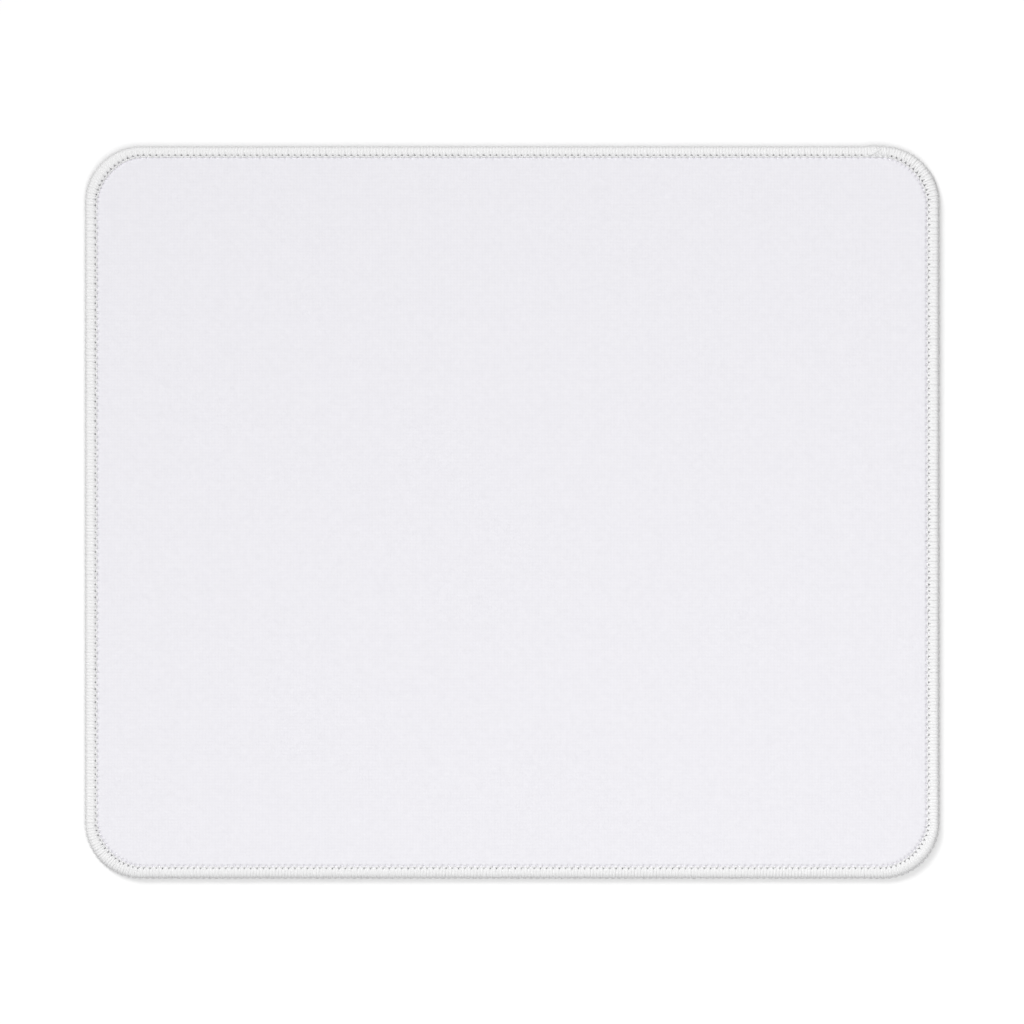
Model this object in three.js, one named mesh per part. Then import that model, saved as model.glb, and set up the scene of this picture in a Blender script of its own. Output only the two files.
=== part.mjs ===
// Mouse pad: a rounded rectangle of cloth, bond film and rubber foam, overlocked all round
// with a needle thread and two looper threads.
// Millimetres, +Z up. The origin is the centre of the face that lies on the desk, and +X runs
// along the long side.

import * as THREE from 'three';

// Plan size, over the sewn edge
const PAD_WIDTH = 210;
const PAD_DEPTH = 180;
const CORNER_RADIUS = 13.8;

// Thickness of each sheet, away from the seam
const BASE_THICKNESS = 2.4;
const FILM_THICKNESS = 0.1;
const CLOTH_THICKNESS = 0.5;

// Threads, and how the looper's loops lie at the needle row
const LOOPER_DIAMETER = 0.55;
const NEEDLE_DIAMETER = 0.35;
const TIP_THICKNESS = 0.45;
const TIP_REACH = 0.35;

// Stitches: the needle row's distance from the sewn edge, the pitch along the long and the short
// sides, and how far a stitch rises between its two holes
const NEEDLE_INSET = 3.05;
const LONG_SIDE_PITCH = 1.54;
const SHORT_SIDE_PITCH = 1.61;
const STITCH_RISE = 0.1;
const GROOVE_CLEARANCE = 0.075;

// How the seam squeezes the foam: its thickness under the wrapped edge and at the needle row, and
// the width over which the faces roll back to flat
const EDGE_FOAM = 1.5;
const NEEDLE_FOAM = 1;
const ROLL_WIDTH = 0.2;

// How far in the round of the sewn edge reaches, before the edge runs level to its crown
const ROUND_WIDTH = 1.35;

// Facets of a corner, of half of the edge's round and of the needle thread
const CORNER_STEPS = 10;
const ROUND_STEPS = 6;
const NEEDLE_SIDES = 4;

// Distances in from the sewn edge. The sheets are trimmed behind both loopers, which lie one over
// the other where they link, and the edge stays full to halfway from there to the needle row.
const trimInset = 2 * LOOPER_DIAMETER;
const crownInset = (trimInset + NEEDLE_INSET) / 2;
const tipInset = NEEDLE_INSET + TIP_REACH;
const flatInset = tipInset + ROLL_WIDTH;
const grooveHalf = NEEDLE_DIAMETER / 2 + GROOVE_CLEARANCE;

// Heights of the four faces of the stack, from the underside of the foam to the top of the cloth
function faceHeights(underside, foamThickness) {
  const foamTop = underside + foamThickness;
  const filmTop = foamTop + FILM_THICKNESS;
  const clothTop = filmTop + CLOTH_THICKNESS;
  return { underside, foamTop, filmTop, clothTop };
}

const nip = (EDGE_FOAM - NEEDLE_FOAM) / 2;
const flatHeights = faceHeights(0, BASE_THICKNESS);
const edgeHeights = faceHeights(LOOPER_DIAMETER, EDGE_FOAM);
const needleHeights = faceHeights(LOOPER_DIAMETER + nip, NEEDLE_FOAM);

// The sewn edge runs from the desk to one looper thread above the squeezed cloth
const crownHeight = edgeHeights.clothTop + LOOPER_DIAMETER;
const linkHeight = crownHeight / 2;
const upperGroove = needleHeights.clothTop + TIP_THICKNESS;
const lowerGroove = needleHeights.underside - TIP_THICKNESS;

// A point of a seam section: its distance in from the sewn edge, and its height
function at(inset, height) {
  return new THREE.Vector2(inset, height);
}

// One named face of the stack, from its flat part out to the trimmed edge
function facePath(face) {
  const backToFlat = (tipInset - NEEDLE_INSET) / (flatInset - NEEDLE_INSET);
  const tipHeight = THREE.MathUtils.lerp(needleHeights[face], flatHeights[face], backToFlat);
  return [
    at(flatInset, flatHeights[face]),
    at(tipInset, tipHeight),
    at(NEEDLE_INSET, needleHeights[face]),
    at(crownInset, edgeHeights[face]),
    at(trimInset, edgeHeights[face]),
  ];
}

// Stations go anticlockwise round the pad, each with the centre of its corner and the direction
// from it, which a whole side shares
function stationsRound(cornerSteps, longSideSteps, shortSideSteps) {
  const reachX = PAD_WIDTH / 2 - CORNER_RADIUS;
  const reachY = PAD_DEPTH / 2 - CORNER_RADIUS;
  const centres = [
    new THREE.Vector2(reachX, reachY),
    new THREE.Vector2(-reachX, reachY),
    new THREE.Vector2(-reachX, -reachY),
    new THREE.Vector2(reachX, -reachY),
  ];
  const quarter = Math.PI / 2;
  const stations = [];
  centres.forEach((centre, corner) => {
    for (let step = 0; step < cornerSteps; step += 1) {
      stations.push({ centre, angle: (corner + step / cornerSteps) * quarter });
    }
    const next = centres[(corner + 1) % centres.length];
    const sideSteps = corner % 2 === 0 ? longSideSteps : shortSideSteps;
    for (let step = 0; step < sideSteps; step += 1) {
      const along = centre.clone().lerp(next, step / sideSteps);
      stations.push({ centre: along, angle: (corner + 1) * quarter });
    }
  });
  return stations;
}

// Carries a seam section round the pad. sectionAt gives the section at a station's number, with
// its points in order from the needle row out over the top. A closed section makes a ring, and an
// open one makes a sheet, which gets a flat face across each end of the section.
function carriedRound(stations, sectionAt, closed) {
  const positions = [];
  const triangles = [];
  const pointCount = sectionAt(0).length;
  stations.forEach(({ centre, angle }, number) => {
    for (const point of sectionAt(number)) {
      const reach = CORNER_RADIUS - point.x;
      positions.push(centre.x + reach * Math.cos(angle), centre.y + reach * Math.sin(angle), point.y);
    }
  });
  const index = (number, point) => (number % stations.length) * pointCount + (point % pointCount);
  const strips = closed ? pointCount : pointCount - 1;
  for (let number = 0; number < stations.length; number += 1) {
    for (let point = 0; point < strips; point += 1) {
      const here = index(number, point);
      const outward = index(number, point + 1);
      const across = index(number + 1, point + 1);
      const along = index(number + 1, point);
      triangles.push(here, outward, across, here, across, along);
    }
  }
  if (!closed) {
    const section = sectionAt(0);
    const last = pointCount - 1;
    const topMiddle = stations.length * pointCount;
    const bottomMiddle = topMiddle + 1;
    positions.push(0, 0, section[0].y);
    positions.push(0, 0, section[last].y);
    for (let number = 0; number < stations.length; number += 1) {
      triangles.push(topMiddle, index(number, 0), index(number + 1, 0));
      triangles.push(bottomMiddle, index(number + 1, last), index(number, last));
    }
  }
  const geometry = new THREE.BufferGeometry();
  geometry.setAttribute('position', new THREE.Float32BufferAttribute(positions, 3));
  geometry.setIndex(triangles);
  geometry.computeVertexNormals();
  return geometry;
}

// Outline of the solids that have no stitches of their own
const outline = stationsRound(CORNER_STEPS, 1, 1);

// A sheet of the stack, between two of its named faces
function sheet(lowerFace, upperFace) {
  const section = [...facePath(upperFace), ...facePath(lowerFace).reverse()];
  return carriedRound(outline, () => section, false);
}

// The upper looper's thread wraps the edge from the needle row over the top to where the loopers link
function upperLooper() {
  const overTheEdge = new THREE.EllipseCurve(
    ROUND_WIDTH, linkHeight, ROUND_WIDTH, crownHeight - linkHeight, Math.PI / 2, Math.PI,
  );
  const [, tip, needle, crown, trim] = facePath('clothTop');
  const section = [
    tip,
    at(NEEDLE_INSET + grooveHalf, upperGroove),
    at(NEEDLE_INSET - grooveHalf, upperGroove),
    at(crownInset, crownHeight),
    ...overTheEdge.getPoints(ROUND_STEPS),
    at(trimInset, linkHeight),
    trim,
    crown,
    needle,
  ];
  return carriedRound(outline, () => section, true);
}

// The lower looper's thread wraps the edge from below in the same way
function lowerLooper() {
  const underTheEdge = new THREE.EllipseCurve(
    ROUND_WIDTH, linkHeight, ROUND_WIDTH, linkHeight, Math.PI, 1.5 * Math.PI,
  );
  const [, tip, needle, crown, trim] = facePath('underside');
  const section = [
    tip,
    needle,
    crown,
    trim,
    at(trimInset, linkHeight),
    ...underTheEdge.getPoints(ROUND_STEPS),
    at(crownInset, 0),
    at(NEEDLE_INSET - grooveHalf, lowerGroove),
    at(NEEDLE_INSET + grooveHalf, lowerGroove),
  ];
  return carriedRound(outline, () => section, true);
}

// The needle thread lies in the groove over the loops' tips. Its even stations are the needle's
// holes, where it is down on the groove's floor, and between them it rises. The stitches are fed
// evenly along the sewn edge, so they lie closer together in the row round a corner.
function needleStitches() {
  const stitchesIn = (length, pitch) => Math.max(1, Math.round(length / pitch));
  const cornerLength = CORNER_RADIUS * (Math.PI / 2);
  const cornerPitch = (LONG_SIDE_PITCH + SHORT_SIDE_PITCH) / 2;
  const stations = stationsRound(
    2 * stitchesIn(cornerLength, cornerPitch),
    2 * stitchesIn(PAD_WIDTH - 2 * CORNER_RADIUS, LONG_SIDE_PITCH),
    2 * stitchesIn(PAD_DEPTH - 2 * CORNER_RADIUS, SHORT_SIDE_PITCH),
  );
  const radius = NEEDLE_DIAMETER / 2;
  const threadAt = (number) => {
    const middle = upperGroove + radius + (number % 2 === 0 ? 0 : STITCH_RISE);
    const round = new THREE.EllipseCurve(NEEDLE_INSET, middle, radius, radius);
    return round.getPoints(NEEDLE_SIDES).slice(0, NEEDLE_SIDES);
  };
  return carriedRound(stations, threadAt, true);
}

const rubber = new THREE.MeshStandardMaterial({ color: 0x1d1d1f, roughness: 0.95, metalness: 0 });
const hotMelt = new THREE.MeshStandardMaterial({ color: 0xe4e0d2, roughness: 0.45, metalness: 0 });
const whiteCloth = new THREE.MeshStandardMaterial({ color: 0xefeef3, roughness: 0.9, metalness: 0 });
const whiteThread = new THREE.MeshStandardMaterial({ color: 0xf1f1f2, roughness: 0.8, metalness: 0 });

function piece(name, geometry, material) {
  const mesh = new THREE.Mesh(geometry, material);
  mesh.name = name;
  return mesh;
}

// The three bonded sheets, from the desk up
const laminate = new THREE.Group();
laminate.add(
  piece('rubber_base', sheet('underside', 'foamTop'), rubber),
  piece('bond_film', sheet('foamTop', 'filmTop'), hotMelt),
  piece('cloth_top', sheet('filmTop', 'clothTop'), whiteCloth),
);

// The three threads of the overlocked edge
const seam = new THREE.Group();
seam.add(
  piece('lower_looper_thread', lowerLooper(), whiteThread),
  piece('upper_looper_thread', upperLooper(), whiteThread),
  piece('needle_thread', needleStitches(), whiteThread),
);

const mousePad = new THREE.Group();
mousePad.name = 'mouse_pad';
mousePad.add(laminate, seam);

export default mousePad;
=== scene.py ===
# Mouse pad: a white cloth face on a rubber foam sheet, overlocked all round with white thread.
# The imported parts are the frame, in metres: +X along the long side, +Z up, and the desk at zero.

import math
import random

import bmesh
import bpy
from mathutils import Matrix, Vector


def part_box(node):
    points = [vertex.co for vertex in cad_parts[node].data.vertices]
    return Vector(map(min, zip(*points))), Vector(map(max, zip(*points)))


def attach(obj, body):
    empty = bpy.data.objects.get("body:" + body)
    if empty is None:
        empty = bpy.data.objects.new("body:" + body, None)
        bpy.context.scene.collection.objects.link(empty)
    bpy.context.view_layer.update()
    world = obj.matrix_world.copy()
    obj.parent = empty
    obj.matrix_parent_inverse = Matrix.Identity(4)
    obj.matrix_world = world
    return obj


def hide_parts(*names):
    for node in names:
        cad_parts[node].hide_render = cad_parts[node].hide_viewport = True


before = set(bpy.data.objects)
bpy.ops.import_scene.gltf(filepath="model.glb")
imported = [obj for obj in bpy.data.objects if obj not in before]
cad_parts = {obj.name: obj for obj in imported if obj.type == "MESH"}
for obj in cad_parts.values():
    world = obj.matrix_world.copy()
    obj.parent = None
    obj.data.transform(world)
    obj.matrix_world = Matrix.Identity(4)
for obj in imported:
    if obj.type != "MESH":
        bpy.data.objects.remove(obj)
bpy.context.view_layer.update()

# Rubber base
# A sheet of black foamed rubber that grips the desk, cast on a belt that leaves small diamonds on
# its underside. The overlock squeezes its rim, which is trimmed flush with the cloth.
MM = 0.001
CORNER_RADIUS = 13.8 * MM
LOOPER_DIAMETER = 0.55 * MM
EDGE_FOAM = 1.5 * MM
NEEDLE_FOAM = 1.0 * MM
NIP_WIDTH = 1 * MM
ROLL_WIDTH = 0.55 * MM
FLAT_MARGIN = 1 * MM
GRIP_PITCH = 2.4 * MM
GRIP_DEPTH = 0.25 * MM
GRIP_MARGIN = 0.6 * MM
WHOLE_DIAMOND = 0.9 * GRIP_PITCH**2
SHEET_MERGE = 0.005 * MM
DARK_RUBBER = (0.018, 0.018, 0.02)
PALE_RUBBER = (0.028, 0.028, 0.03)

# The seam's stitches, and its width as a share of the even one: less along the far side and more
# round a corner
STITCHES_ROUND_A_CORNER = 14
STITCHES_ON_A_LONG_SIDE = 118
STITCHES_ON_A_SHORT_SIDE = 95
STITCH_COUNT = 2 * (STITCHES_ON_A_LONG_SIDE + STITCHES_ON_A_SHORT_SIDE + 2 * STITCHES_ROUND_A_CORNER)
SEAM_WIDTH = 1.01
FAR_NARROWING = 0.11
CORNER_WIDENING = 0.17

# Half the thickness of the frame's needle thread, which places the row that it lies on
ROW_HALF = 0.175 * MM

seam_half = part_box("upper_looper_thread")[1]
base_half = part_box("rubber_base")[1]
trim_inset = seam_half.x - base_half.x
needle_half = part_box("needle_thread")[1]
needle_inset = seam_half.x - needle_half.x + ROW_HALF
flat_inset = needle_inset + ROLL_WIDTH
edge_underside = LOOPER_DIAMETER
edge_foam_top = edge_underside + EDGE_FOAM
needle_underside = edge_underside + (EDGE_FOAM - NEEDLE_FOAM) / 2
needle_foam_top = needle_underside + NEEDLE_FOAM


def seam_station(stitch):
    """A place on the seam, in stitches anticlockwise from the upper end of the right-hand side: the
    centre of its corner, carried along a straight side, and the way out from there."""
    left = stitch % STITCH_COUNT
    reach_x = seam_half.x - CORNER_RADIUS
    reach_y = seam_half.y - CORNER_RADIUS
    centres = ((reach_x, reach_y), (-reach_x, reach_y), (-reach_x, -reach_y), (reach_x, -reach_y))
    for corner, centre in enumerate(centres):
        side = STITCHES_ON_A_SHORT_SIDE if corner % 2 else STITCHES_ON_A_LONG_SIDE
        if left < STITCHES_ROUND_A_CORNER + side:
            break
        left -= STITCHES_ROUND_A_CORNER + side
    angle = (corner + min(left / STITCHES_ROUND_A_CORNER, 1)) * math.pi / 2
    along = max(left - STITCHES_ROUND_A_CORNER, 0) / side
    middle = Vector(centre).lerp(Vector(centres[(corner + 1) % 4]), along)
    return middle, Vector((math.cos(angle), math.sin(angle)))


def long_sides(stitch):
    """How much a place on the seam belongs to the far side and to the near side, each from 0 to 1."""
    outward = seam_station(stitch)[1]
    return max(outward.y, 0) ** 2, max(-outward.y, 0) ** 2


def seam_point(stitch, inset, height):
    """A point of the seam, at an inset that its changing width draws in or out."""
    middle, outward = seam_station(stitch)
    turning = 2 * abs(outward.x * outward.y)
    width = SEAM_WIDTH - FAR_NARROWING * long_sides(stitch)[0] + CORNER_WIDENING * turning
    return Vector((*(middle + (CORNER_RADIUS - inset * width) * outward), height))


def carried_round(section, per_stitch, pull):
    """A sheet whose rim's (inset, height) section, from its top face out and back below, goes round
    the pad. pull lowers a place of the rim, given its stitch, inset and height."""
    bm = bmesh.new()
    rows = len(section) - 1
    bmesh.ops.create_grid(bm, x_segments=STITCH_COUNT * per_stitch, y_segments=rows, size=0.5)
    for vertex in bm.verts:
        stitch = (vertex.co.x + 0.5) * STITCH_COUNT
        inset, height = section[round((vertex.co.y + 0.5) * rows)]
        vertex.co = seam_point(stitch, inset, height - pull(stitch, inset, height))
    bmesh.ops.remove_doubles(bm, verts=bm.verts[:], dist=SHEET_MERGE)
    rims = [edge for edge in bm.edges if edge.is_boundary]
    bmesh.ops.holes_fill(bm, edges=rims, sides=0)
    bmesh.ops.recalc_face_normals(bm, faces=bm.faces[:])
    return bm


def no_pull(stitch, inset, height):
    """The rim lies as its section says."""
    return 0


def finished(bm, name, node, smooth_angle):
    """The finished piece in place of its CAD node, on the one body."""
    mesh = bpy.data.meshes.new(name)
    bm.to_mesh(mesh)
    bm.free()
    mesh.shade_smooth()
    mesh.set_sharp_from_angle(angle=smooth_angle)
    piece = bpy.data.objects.new(name, mesh)
    bpy.context.scene.collection.objects.link(piece)
    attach(piece, "root")
    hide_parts(node)
    return piece


def new_material(name, roughness):
    """A plain matte material, with its node tree and its shader."""
    material = bpy.data.materials.new(name)
    material.use_nodes = True
    tree = material.node_tree
    shader = tree.nodes["Principled BSDF"]
    shader.inputs["Roughness"].default_value = roughness
    return material, tree, shader


def value_of(tree, operation, first, second=None):
    """A maths node on two inputs, each a number or another node's output."""
    node = tree.nodes.new("ShaderNodeMath")
    node.operation = operation
    for socket, given in zip(node.inputs, (first, second)):
        if isinstance(given, (int, float)):
            socket.default_value = given
        elif given is not None:
            tree.links.new(given, socket)
    return node.outputs[0]


def noise_of(tree, scale, detail):
    """Noise over the object's own coordinates, scale being lumps to the metre."""
    place = tree.nodes.new("ShaderNodeTexCoord")
    noise = tree.nodes.new("ShaderNodeTexNoise")
    noise.inputs["Scale"].default_value = scale
    noise.inputs["Detail"].default_value = detail
    tree.links.new(place.outputs["Object"], noise.inputs["Vector"])
    return noise.outputs["Fac"]


def blended(tree, share, first, second):
    """A colour between two linear colours."""
    mix = tree.nodes.new("ShaderNodeMix")
    mix.data_type = "RGBA"
    tree.links.new(share, mix.inputs["Factor"])
    mix.inputs["A"].default_value = (*first, 1)
    mix.inputs["B"].default_value = (*second, 1)
    return mix.outputs["Result"]


def bumped(tree, shader, height, distance):
    """Raises the shader's surface by a height, at most by a distance in metres."""
    bump = tree.nodes.new("ShaderNodeBump")
    bump.inputs["Distance"].default_value = distance
    tree.links.new(height, bump.inputs["Height"])
    tree.links.new(bump.outputs["Normal"], shader.inputs["Normal"])


foam_top = (
    (flat_inset + FLAT_MARGIN, base_half.z),
    (flat_inset, base_half.z),
    (needle_inset, needle_foam_top),
    (needle_inset - NIP_WIDTH, edge_foam_top),
    (trim_inset, edge_foam_top),
)
foam_underside = (
    (trim_inset, edge_underside),
    (needle_inset - NIP_WIDTH, edge_underside),
    (needle_inset, needle_underside),
    (flat_inset, 0),
    (flat_inset + GRIP_MARGIN, 0),
    (flat_inset + GRIP_MARGIN + GRIP_DEPTH, GRIP_DEPTH),
)
bm = carried_round((*foam_top, *foam_underside), 1, no_pull)

# The belt's mesh: two sets of cuts across the sunk face, and a diamond left proud in each cell
bm.faces.ensure_lookup_table()
underside = min(bm.faces, key=lambda face: face.normal.z * face.calc_area())
sunk = [underside, *underside.edges, *underside.verts]
reach = base_half.x + base_half.y
for across in (Vector((1, 1, 0)).normalized(), Vector((1, -1, 0)).normalized()):
    for number in range(-int(reach / GRIP_PITCH), int(reach / GRIP_PITCH) + 1):
        cut = bmesh.ops.bisect_plane(
            bm,
            geom=sunk,
            plane_co=across * number * GRIP_PITCH,
            plane_no=across,
        )
        sunk = cut["geom"]
cells = [found for found in sunk if isinstance(found, bmesh.types.BMFace)]
whole = [cell for cell in cells if cell.calc_area() > WHOLE_DIAMOND]
bmesh.ops.inset_individual(bm, faces=whole, thickness=GRIP_DEPTH, depth=GRIP_DEPTH)
rubber_base = finished(bm, "foam_base", "rubber_base", math.radians(30))

material, tree, shader = new_material("foamed rubber", 0.85)
pores = noise_of(tree, 2600, 4)
grey = blended(tree, noise_of(tree, 180, 3), DARK_RUBBER, PALE_RUBBER)
tree.links.new(grey, shader.inputs["Base Color"])
bumped(tree, shader, pores, 0.06 * MM)
rubber_base.data.materials.append(material)

# Bond film
# A milky hot-melt film a tenth of a millimetre thick, laminated hot between the foam and the cloth.
# It follows them down where the seam nips the stack.
DULL_FILM = (0.74, 0.71, 0.61)
PALE_FILM = (0.82, 0.79, 0.69)

film_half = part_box("bond_film")[1]
film_thickness = film_half.z - base_half.z
film_top = [(inset, height + film_thickness) for inset, height in foam_top]
bm = carried_round((*film_top, *reversed(foam_top)), 1, no_pull)
bond_film = finished(bm, "glue_film", "bond_film", math.radians(30))

material, tree, shader = new_material("hot-melt film", 0.45)
milky = blended(tree, noise_of(tree, 900, 3), DULL_FILM, PALE_FILM)
tree.links.new(milky, shader.inputs["Base Color"])
bumped(tree, shader, noise_of(tree, 1500, 2), 0.02 * MM)
bond_film.data.materials.append(material)

# Cloth top
# A close plain weave of white polyester, half a millimetre thick, laminated to the foam and cut with
# it. The seam nips it thin, and the needle pulls it down into a dimple at every hole.
WEAVE_PITCH = 0.36 * MM
DIMPLE_DEPTH = 0.6 * MM
DIMPLE_WIDTH = 0.32 * MM
DIMPLE_OFFSET = 0.18 * MM
ROWS_PER_STITCH = 8
# The cloth's colour runs from dull to pale: the dull end is painted shade where the weave's yarns dip,
# and also the yarns' darker slubs
DULL_CLOTH_AND_WEAVE_SHADE = (0.813, 0.803, 0.846)
PALE_CLOTH = (0.909, 0.899, 0.939)

# Along the far side the needle pulls less, and along both long sides the cloth beside its row falls
# by less of the way
FAR_EASE = 0.12
FAR_SLACK = 0.4
NEAR_SLACK = 0.45
SLACK_REACH = 0.2 * MM

# The feed is a little uneven, so the needle's holes wander from even spacing, here in stitches, and
# from the row
FEED_WANDER = 0.035
ROW_WANDER = 0.03 * MM
MEAN_PITCH = 1.57 * MM
SEAM_START = STITCHES_ROUND_A_CORNER
OVERLAP_STITCHES = 2
dice = random.Random(27)
seam_end = SEAM_START + STITCH_COUNT + OVERLAP_STITCHES
holes = [number + dice.uniform(-FEED_WANDER, FEED_WANDER) for number in range(SEAM_START, seam_end + 1)]
hole_insets = [needle_inset + dice.uniform(-ROW_WANDER, ROW_WANDER) for hole in holes]

# The cloth's top face, in from the needle row and down from flat in millimetres, and out over the
# nipped foam to the trimmed edge
cloth_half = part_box("cloth_top")[1]
roll_down = (
    (1.3, 0),
    (0.9, 0),
    (0.62, 0),
    (0.48, 0.03),
    (0.36, 0.08),
    (0.25, 0.16),
    (0.12, 0.28),
    (0, 0.42),
)
cloth_rim = (
    *((needle_inset + inward * MM, cloth_half.z - down * MM) for inward, down in roll_down),
    (needle_inset - 0.15 * MM, needle_foam_top + 0.5 * MM),
    (needle_inset - 0.5 * MM, needle_foam_top + 0.35 * MM),
    (needle_inset - 0.8 * MM, edge_foam_top + 0.25 * MM),
    (needle_inset - 1.2 * MM, edge_foam_top + 0.5 * MM),
    (trim_inset, edge_foam_top + 0.5 * MM),
)


def needle_pull(stitch, inset, height):
    """How far the needle's nearest hole pulls the cloth's top face down, less what slack lifts it."""
    if (inset, height) not in cloth_rim:
        return 0
    number = round(stitch - SEAM_START) % STITCH_COUNT
    away = (stitch - holes[number] + STITCH_COUNT / 2) % STITCH_COUNT - STITCH_COUNT / 2
    distance = math.hypot(away * MEAN_PITCH, inset - hole_insets[number] - DIMPLE_OFFSET)
    far, near = long_sides(stitch)
    tension = 1 - FAR_EASE * far
    dimple = tension * DIMPLE_DEPTH * math.exp(-((distance / DIMPLE_WIDTH) ** 2))
    if inset <= needle_inset - SLACK_REACH:
        return dimple
    return dimple - (FAR_SLACK * far + NEAR_SLACK * near) * (cloth_half.z - height)


bm = carried_round((*cloth_rim, *reversed(film_top)), ROWS_PER_STITCH, needle_pull)
cloth_top = finished(bm, "cloth_face", "cloth_top", math.radians(60))

material, tree, shader = new_material("plain-woven polyester", 0.9)
place = tree.nodes.new("ShaderNodeTexCoord")
axes = tree.nodes.new("ShaderNodeSeparateXYZ")
tree.links.new(place.outputs["Object"], axes.inputs[0])
warp = value_of(tree, "SINE", value_of(tree, "MULTIPLY", axes.outputs["X"], math.pi / WEAVE_PITCH))
weft = value_of(tree, "SINE", value_of(tree, "MULTIPLY", axes.outputs["Y"], math.pi / WEAVE_PITCH))
warp_on_top = value_of(tree, "GREATER_THAN", value_of(tree, "MULTIPLY", warp, weft), 0)
warp_round = value_of(tree, "ABSOLUTE", warp)
weft_round = value_of(tree, "ABSOLUTE", weft)
warp_yarn = value_of(tree, "MULTIPLY", warp_round, value_of(tree, "POWER", weft_round, 0.4))
weft_yarn = value_of(tree, "MULTIPLY", weft_round, value_of(tree, "POWER", warp_round, 0.4))
from_warp = value_of(tree, "MULTIPLY", warp_yarn, warp_on_top)
from_weft = value_of(tree, "MULTIPLY", weft_yarn, value_of(tree, "SUBTRACT", 1, warp_on_top))
weave = value_of(tree, "ADD", from_warp, from_weft)
slubs = noise_of(tree, 800, 3)
# The colour follows the weave and is darker where the yarns dip, which is painted shade between them. It
# also varies at random with the slubs.
weave_shade = value_of(tree, "MULTIPLY", weave, 0.55)
slub_shade = value_of(tree, "MULTIPLY", slubs, 0.6)
white = blended(tree, value_of(tree, "ADD", weave_shade, slub_shade), DULL_CLOTH_AND_WEAVE_SHADE, PALE_CLOTH)
tree.links.new(white, shader.inputs["Base Color"])
shader.inputs["Specular IOR Level"].default_value = 0.25
shader.inputs["Sheen Weight"].default_value = 0.1
bumped(tree, shader, value_of(tree, "ADD", weave, value_of(tree, "MULTIPLY", slubs, 0.5)), 0.05 * MM)
cloth_top.data.materials.append(material)

# Lower looper thread
# Bulked white polyester that wraps the edge from below: up from the underside's needle row, over the
# upper looper's two legs at the rim, and down again, once for each stitch.
STRIP_PITCH = 0.92 * MM
ROUND_LENGTH = 3.5 * MM
FLAT_LENGTH = 1.7 * MM
LOOP_LENGTH = 0.95 * MM
LINK_ROOM = 0.15 * MM
THREAD_MERGE = 0.0005 * MM
PLIES = 3
TWISTS = 1300
# The thread's colour runs from dull to pale: the dull end is painted shade in the grooves between its
# plies, and also its darker fibres
DULL_THREAD_AND_PLY_SHADE = (0.814, 0.812, 0.816)
PALE_THREAD = (0.884, 0.882, 0.886)

# The edge's round reaches in less far along the far side and further along the near side. From there
# the wraps fall to the needle row, and not so deep along the far side.
SHOULDER_INSET = 1.1 * MM
FAR_STEEPENING = 0.3 * MM
NEAR_EASING = 0.9 * MM
FALL_WIDTH = 1 * MM
NEEDLE_DROP = 0.3 * MM
FAR_RISE = 0.5

# How the wraps stray, with each lean in stitches and each lift in millimetres: at random, from where
# the needle holds them, and over the few stitches where the seam's end climbs onto its start
WRAP_LEAN = 0.03
HELD_FROM = 0.6
CLIMB_STITCHES = 1.5
LINK_LIFT = 0.05
LOWER_OVERLAP_LEAN = 0.35
LOWER_OVERLAP_LIFT = 0.2

round_middle = seam_half.z / 2
round_height = (seam_half.z - LOOPER_DIAMETER) / 2


def shoulder_inset(stitch):
    """How far in the edge's round reaches."""
    far, near = long_sides(stitch)
    return SHOULDER_INSET - FAR_STEEPENING * far + NEAR_EASING * near


def needle_drop(stitch):
    """How far the seam's surface falls to the needle row."""
    return NEEDLE_DROP * (1 - FAR_RISE * long_sides(stitch)[0])


def on_the_seam(place):
    """Wraps a point of the unrolled seam round the edge: along it, across it from the shoulder out and
    down, and out from its surface. The strip is as narrow as the wraps lie when bunched together."""
    along, across, lift = place
    stitch = along / STRIP_PITCH
    shoulder = shoulder_inset(stitch)
    if 0 < across < ROUND_LENGTH:
        angle = math.pi * across / ROUND_LENGTH
        width = shoulder - LOOPER_DIAMETER / 2 - LINK_ROOM
        outward = Vector((math.sin(angle) / width, math.cos(angle) / round_height)).normalized()
        inset = shoulder - width * math.sin(angle) - lift * outward.x
        return seam_point(stitch, inset, round_middle + round_height * math.cos(angle) + lift * outward.y)
    upward = 1 if across <= 0 else -1
    inward = -across if across <= 0 else across - ROUND_LENGTH
    loop_inset = needle_inset - LOOP_LENGTH
    stretch = (loop_inset - shoulder) / (FLAT_LENGTH - LOOP_LENGTH)
    if inward < FLAT_LENGTH - LOOP_LENGTH:
        inset = shoulder + inward * stretch
    else:
        inset = needle_inset - FLAT_LENGTH + inward
    nearness = min(max((inset - needle_inset) / FALL_WIDTH + 1, 0), 1)
    fall = needle_drop(stitch) * nearness * nearness * (3 - 2 * nearness)
    return seam_point(stitch, inset, round_middle + upward * (round_height - fall + lift))


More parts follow.
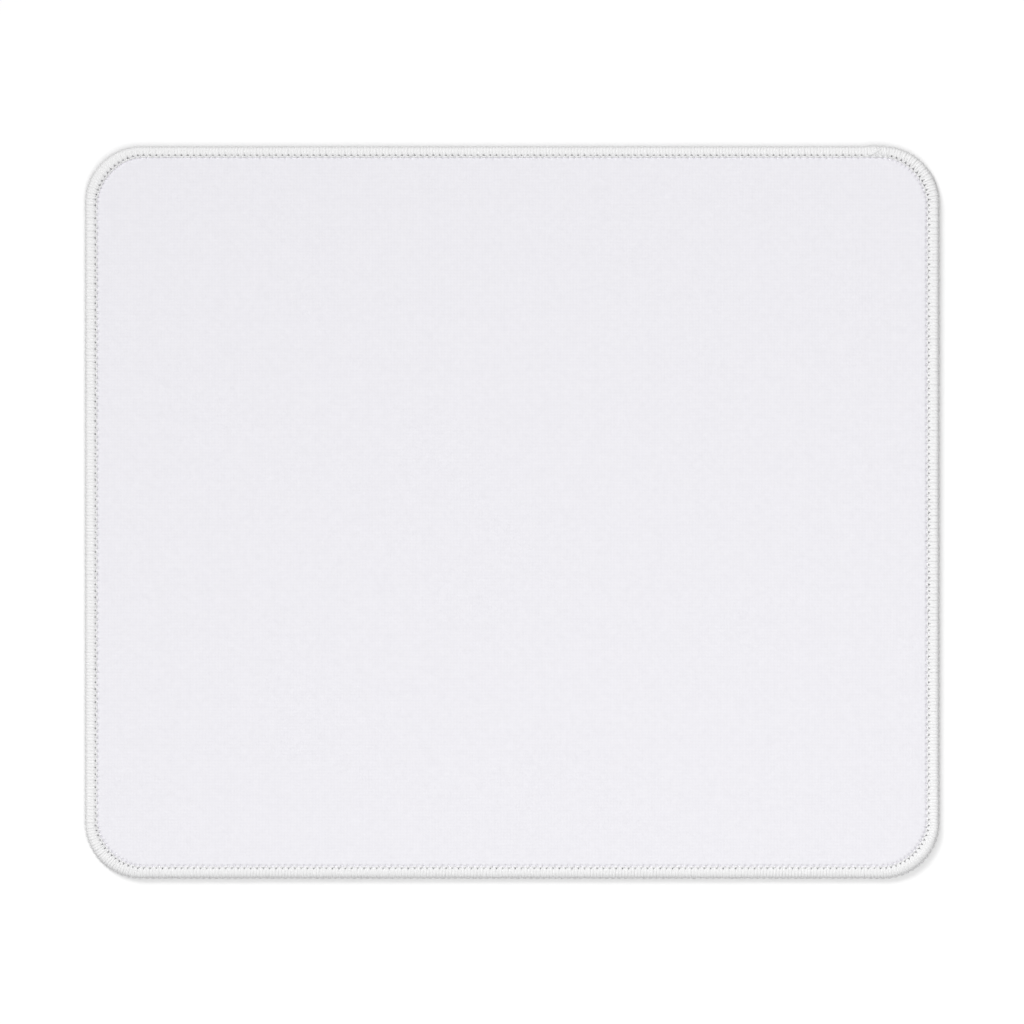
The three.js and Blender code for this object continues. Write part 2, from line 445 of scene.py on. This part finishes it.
def thread_piece(name, node, points, radius, wrapped):
    """A tube through (x, y, z, thickness) points, wrapped round the edge or left where it is."""
    curve = bpy.data.curves.new(name, "CURVE")
    curve.dimensions = "3D"
    curve.bevel_depth = radius
    curve.bevel_resolution = 1
    curve.resolution_u = 2
    curve.use_fill_caps = True
    spline = curve.splines.new("BEZIER")
    spline.bezier_points.add(len(points) - 1)
    for knot, (x, y, z, thickness) in zip(spline.bezier_points, points):
        knot.co = (x, y, z)
        knot.radius = thickness
        knot.handle_left_type = "AUTO"
        knot.handle_right_type = "AUTO"
    strip = bpy.data.objects.new(name + " strip", curve)
    mesh = bpy.data.meshes.new_from_object(strip)
    bpy.data.objects.remove(strip)
    if wrapped:
        for vertex in mesh.vertices:
            vertex.co = on_the_seam(vertex.co)
    bm = bmesh.new()
    bm.from_mesh(mesh)
    bpy.data.meshes.remove(mesh)
    bmesh.ops.remove_doubles(bm, verts=bm.verts[:], dist=THREAD_MERGE)
    bmesh.ops.recalc_face_normals(bm, faces=bm.faces[:])
    piece = finished(bm, name, node, math.radians(75))
    return piece


def row_crowding(stitch):
    """How close the needle's holes lie, as a share of their spacing along a straight side."""
    ahead = seam_point(stitch + 0.5, needle_inset, 0)
    return (ahead - seam_point(stitch - 0.5, needle_inset, 0)).length / MEAN_PITCH


def overlap_of(number):
    """How far a stitch lies over the seam's own start, from 0 to 1."""
    return min(max((number - STITCH_COUNT + 1) / CLIMB_STITCHES, 0), 1)


# A wrap's turns are stitches along the seam, millimetres across the strip and out from its surface,
# and a share of the thread's thickness. Its second leg mirrors the first.
round_mm = ROUND_LENGTH / MM
lower_points = []
for number, hole in enumerate(holes):
    evenly = SEAM_START + number
    over = overlap_of(number)
    skew = dice.uniform(-WRAP_LEAN, WRAP_LEAN) + LOWER_OVERLAP_LEAN * over
    lift = dice.uniform(0, LINK_LIFT) + LOWER_OVERLAP_LIFT * over
    turns = (
        (-0.06, round_mm + 1.6, 0, 0.7),
        (-0.14, round_mm + 1.25, 0, 0.8),
        (-0.24, round_mm + 0.9, 0, 0.95),
        (-0.25, round_mm + 0.1, 0, 1),
        (-0.26, 0.86 * round_mm, 0, 1),
        (-0.25, 0.7 * round_mm, 0.03 + lift, 1),
        (-0.15, 0.6 * round_mm, 0.12 + lift, 0.9),
        (0, 0.56 * round_mm, 0.16 + lift, 0.9),
    )
    for offset, across, out, thickness in (*turns, *((-t[0], *t[1:]) for t in turns[-2::-1])):
        held = min(max(across - round_mm - HELD_FROM, 0), 1)
        shifted = held * (hole - evenly) + skew * max(1 - across / round_mm, 0)
        x = (evenly + offset + shifted) * STRIP_PITCH
        lower_points.append((x, across * MM, out * MM, thickness))
lower_looper = thread_piece(
    "lower_looper_yarn", "lower_looper_thread", lower_points, LOOPER_DIAMETER / 2, True
)

# The thread's plies twist round it, and each ply is a bundle of fine fibres. Its colour is darker in the
# grooves between the plies, which is painted shade, and varies at random along the fibres.
thread_material, tree, shader = new_material("bulked polyester thread", 0.65)
lengthwise = tree.nodes.new("ShaderNodeUVMap")
lengthwise.uv_map = "UVMap"
unrolled = tree.nodes.new("ShaderNodeSeparateXYZ")
tree.links.new(lengthwise.outputs["UV"], unrolled.inputs[0])
twist = value_of(tree, "MULTIPLY", unrolled.outputs["X"], TWISTS)
plies_along = value_of(tree, "MULTIPLY", twist, PLIES)
plies_round = value_of(tree, "MULTIPLY", unrolled.outputs["Y"], PLIES)
across_plies = value_of(tree, "ADD", plies_along, plies_round)
ply_wave = value_of(tree, "SINE", value_of(tree, "MULTIPLY", across_plies, math.pi))
plies = value_of(tree, "ABSOLUTE", ply_wave)
along_fibres = tree.nodes.new("ShaderNodeCombineXYZ")
tree.links.new(value_of(tree, "MULTIPLY", across_plies, 9), along_fibres.inputs["X"])
tree.links.new(value_of(tree, "MULTIPLY", twist, 6), along_fibres.inputs["Y"])
fibres = tree.nodes.new("ShaderNodeTexNoise")
fibres.inputs["Scale"].default_value = 1
fibres.inputs["Detail"].default_value = 2
tree.links.new(along_fibres.outputs[0], fibres.inputs["Vector"])
surface = value_of(tree, "ADD", plies, value_of(tree, "MULTIPLY", fibres.outputs["Fac"], 0.6))
share = value_of(tree, "MULTIPLY", surface, 0.65)
white = blended(tree, share, DULL_THREAD_AND_PLY_SHADE, PALE_THREAD)
tree.links.new(white, shader.inputs["Base Color"])
shader.inputs["Specular IOR Level"].default_value = 0.3
shader.inputs["Sheen Weight"].default_value = 0.15
bumped(tree, shader, surface, 0.03 * MM)
lower_looper.data.materials.append(thread_material)

# Upper looper thread
# The same bulked thread, which wraps the edge from above: from its link with the lower looper up over
# the shoulder to the needle row, where the needle thread holds the tip of each loop, and back.
FAR_OPENING = 0.15
TIP_WANDER = 0.04
LIFT_WANDER = 0.02
LEAST_GIRTH = 0.98
MOST_GIRTH = 1.02
UPPER_OVERLAP_LEAN = 1
UPPER_OVERLAP_LIFT = 0.22

upper_points = []
for number, hole in enumerate(holes):
    evenly = SEAM_START + number
    over = overlap_of(number)
    skew = dice.uniform(-WRAP_LEAN, WRAP_LEAN) + UPPER_OVERLAP_LEAN * over
    tip = dice.uniform(-TIP_WANDER, TIP_WANDER)
    lift = dice.uniform(-LIFT_WANDER, LIFT_WANDER) + UPPER_OVERLAP_LIFT * over
    girth = dice.uniform(LEAST_GIRTH, MOST_GIRTH)
    crowding = row_crowding(hole)
    opening = FAR_OPENING * long_sides(hole)[0]
    turns = (
        (-0.5, 0.74 * round_mm, -0.22, 0.9),
        (-0.3, 0.66 * round_mm, -0.2, 1),
        (-0.25, 0.4 * round_mm, 0, 1),
        (-0.25, 0, 0, 1),
        (-0.24, -0.4, 0, 0.98),
        (-0.24, opening - 0.88, 0, 0.94),
        (-0.215 * math.sqrt(crowding), opening - 1.15, -0.03, 0.86),
        (-0.155 * crowding, opening - 1.36, -0.1, 0.78),
        (0, -1.52 - tip, -0.26, 0.62),
    )
    for offset, across, out, thickness in (*turns, *((-t[0], *t[1:]) for t in turns[-2:0:-1])):
        held = min(max(-across - HELD_FROM, 0), 1)
        shifted = held * (hole - evenly) + skew * across / round_mm
        x = (evenly + offset + shifted) * STRIP_PITCH
        upper_points.append((x, across * MM, (out + lift) * MM, thickness * girth))

# The seam's end is laid back over its start
tail = (
    (0.9, -1.5, 0.1, 0.7),
    (0.3, -1.1, 0.32, 0.8),
    (-0.5, -0.6, 0.36, 0.8),
    (-1.4, 0, 0.34, 0.8),
    (-2.2, 0.8, 0.2, 0.6),
)
for offset, across, out, thickness in tail:
    upper_points.append(((seam_end + offset) * STRIP_PITCH, across * MM, out * MM, thickness))
upper_looper = thread_piece(
    "upper_looper_yarn", "upper_looper_thread", upper_points, LOOPER_DIAMETER / 2, True
)
upper_looper.data.materials.append(thread_material)

# Needle thread
# A finer twisted thread that runs from hole to hole on the cloth and holds the loops' tips down. At
# each hole it goes through all three sheets and back, round the lower looper underneath.
NEEDLE_DIAMETER = 0.38 * MM
KNOT_HEIGHT = 0.35 * MM
STITCH_RISE = 0.15 * MM
STITCH_BOW = 0.03 * MM
FAR_BOW = 0.1 * MM
OVERLAP_LIFT = 0.2 * MM
PULLED_TIGHT = 0.7

needle_points = []
for number, hole in enumerate(holes[:-1]):
    next_hole = holes[number + 1]
    inset = hole_insets[number]
    next_inset = hole_insets[number + 1]
    far = long_sides(hole)[0]
    row_top = seam_half.z - LOOPER_DIAMETER / 2 - needle_drop(hole)

    # Up out of a hole: stitches from it, the distance out from it, the height and the thickness
    rising = (
        (0.08, 0.1 * MM, KNOT_HEIGHT, PULLED_TIGHT),
        (0.09, 0.1 * MM, row_top - 0.6 * MM, PULLED_TIGHT),
        (0.2, 0.04 * MM, row_top - 0.08 * MM, 0.95 + 0.15 * far),
    )
    middle_inset = (inset + next_inset) / 2 - STITCH_BOW - FAR_BOW * far
    middle_height = row_top + STITCH_RISE + OVERLAP_LIFT * overlap_of(number)
    run = (
        *((hole + along, inset - out, height, thickness) for along, out, height, thickness in rising),
        ((hole + next_hole) / 2, middle_inset, middle_height, 1.1 + 0.2 * far),
        *((next_hole - along, next_inset - out, *rest) for along, out, *rest in reversed(rising)),
    )
    for stitch, distance_in, height, thickness in run:
        needle_points.append((*seam_point(stitch, distance_in, height), thickness))
needle_thread = thread_piece("needle_row", "needle_thread", needle_points, NEEDLE_DIAMETER / 2, False)
needle_thread.data.materials.append(thread_material)

# Floor, light and camera
# A white sweep under a soft box overhead and a wide window at the far left, seen from straight above
# through a long lens, at the pad's width in the photograph.
FLOOR_HALF = 4
FLOOR_GAP = 0.02 * MM
BOUNCING_FLOOR = (0.5, 0.5, 0.5)
SEEN_FLOOR = (0.95, 0.95, 0.95)
SEEN_FLOOR_GLOW = 0.066
ROOM_LIGHT = 0.38
SEEN_ROOM_LIGHT = 0.62
WHITE = (1, 1, 1, 1)
PICTURE_WIDTH_PX = 1024
PAD_WIDTH_PX = 855.2
CAMERA_X = -0.05 * MM
CAMERA_Y = 0.15 * MM


def looking_at_it(tree):
    """One for rays from the camera, direct or by a reflection or through glass, and else nothing."""
    rays = tree.nodes.new("ShaderNodeLightPath")
    mirrored = value_of(tree, "ADD", rays.outputs["Is Glossy Ray"], rays.outputs["Is Transmission Ray"])
    return value_of(tree, "ADD", rays.outputs["Is Camera Ray"], mirrored)


floor_mesh = bpy.data.meshes.new("floor")
bm = bmesh.new()
bmesh.ops.create_grid(bm, x_segments=1, y_segments=1, size=FLOOR_HALF)
bmesh.ops.translate(bm, verts=bm.verts[:], vec=(0, 0, -FLOOR_GAP))
bm.to_mesh(floor_mesh)
bm.free()
floor = bpy.data.objects.new("floor", floor_mesh)
bpy.context.scene.collection.objects.link(floor)
material, tree, shader = new_material("white sweep", 1.0)
sweep = blended(tree, looking_at_it(tree), BOUNCING_FLOOR, SEEN_FLOOR)
tree.links.new(sweep, shader.inputs["Base Color"])
shader.inputs["Specular IOR Level"].default_value = 0
shader.inputs["Emission Color"].default_value = WHITE
glow = value_of(tree, "MULTIPLY", looking_at_it(tree), SEEN_FLOOR_GLOW)
tree.links.new(glow, shader.inputs["Emission Strength"])
floor.data.materials.append(material)

world = bpy.data.worlds.new("studio")
bpy.context.scene.world = world
world.use_nodes = True
tree = world.node_tree
background = tree.nodes["Background"]
background.inputs["Color"].default_value = WHITE
seen_light = value_of(tree, "MULTIPLY", looking_at_it(tree), SEEN_ROOM_LIGHT)
tree.links.new(value_of(tree, "ADD", seen_light, ROOM_LIGHT), background.inputs["Strength"])


def lamp(name, kind, place, strength):
    """A lamp that faces the pad from a place."""
    light = bpy.data.lights.new(name, kind)
    light.energy = strength
    holder = bpy.data.objects.new(name, light)
    holder.location = place
    holder.rotation_euler = Vector(place).to_track_quat("Z", "Y").to_euler()
    bpy.context.scene.collection.objects.link(holder)
    return light


overhead = lamp("overhead soft box", "AREA", (0.08, -0.23, 0.9), 3.63)
overhead.shape = "SQUARE"
overhead.size = 0.6
window = lamp("far window", "SUN", (-0.8, 1.05, 1.5), 1.28)
window.angle = math.radians(25)

camera_data = bpy.data.cameras.new("camera")
camera_data.lens = 250
camera = bpy.data.objects.new("camera", camera_data)
frame_width = 2 * seam_half.x * PICTURE_WIDTH_PX / PAD_WIDTH_PX
distance = frame_width * camera_data.lens / camera_data.sensor_width
camera.location = (CAMERA_X, CAMERA_Y, round_middle + distance)
bpy.context.scene.collection.objects.link(camera)
bpy.context.scene.camera = camera
bpy.context.scene.view_settings.view_transform = "Standard"
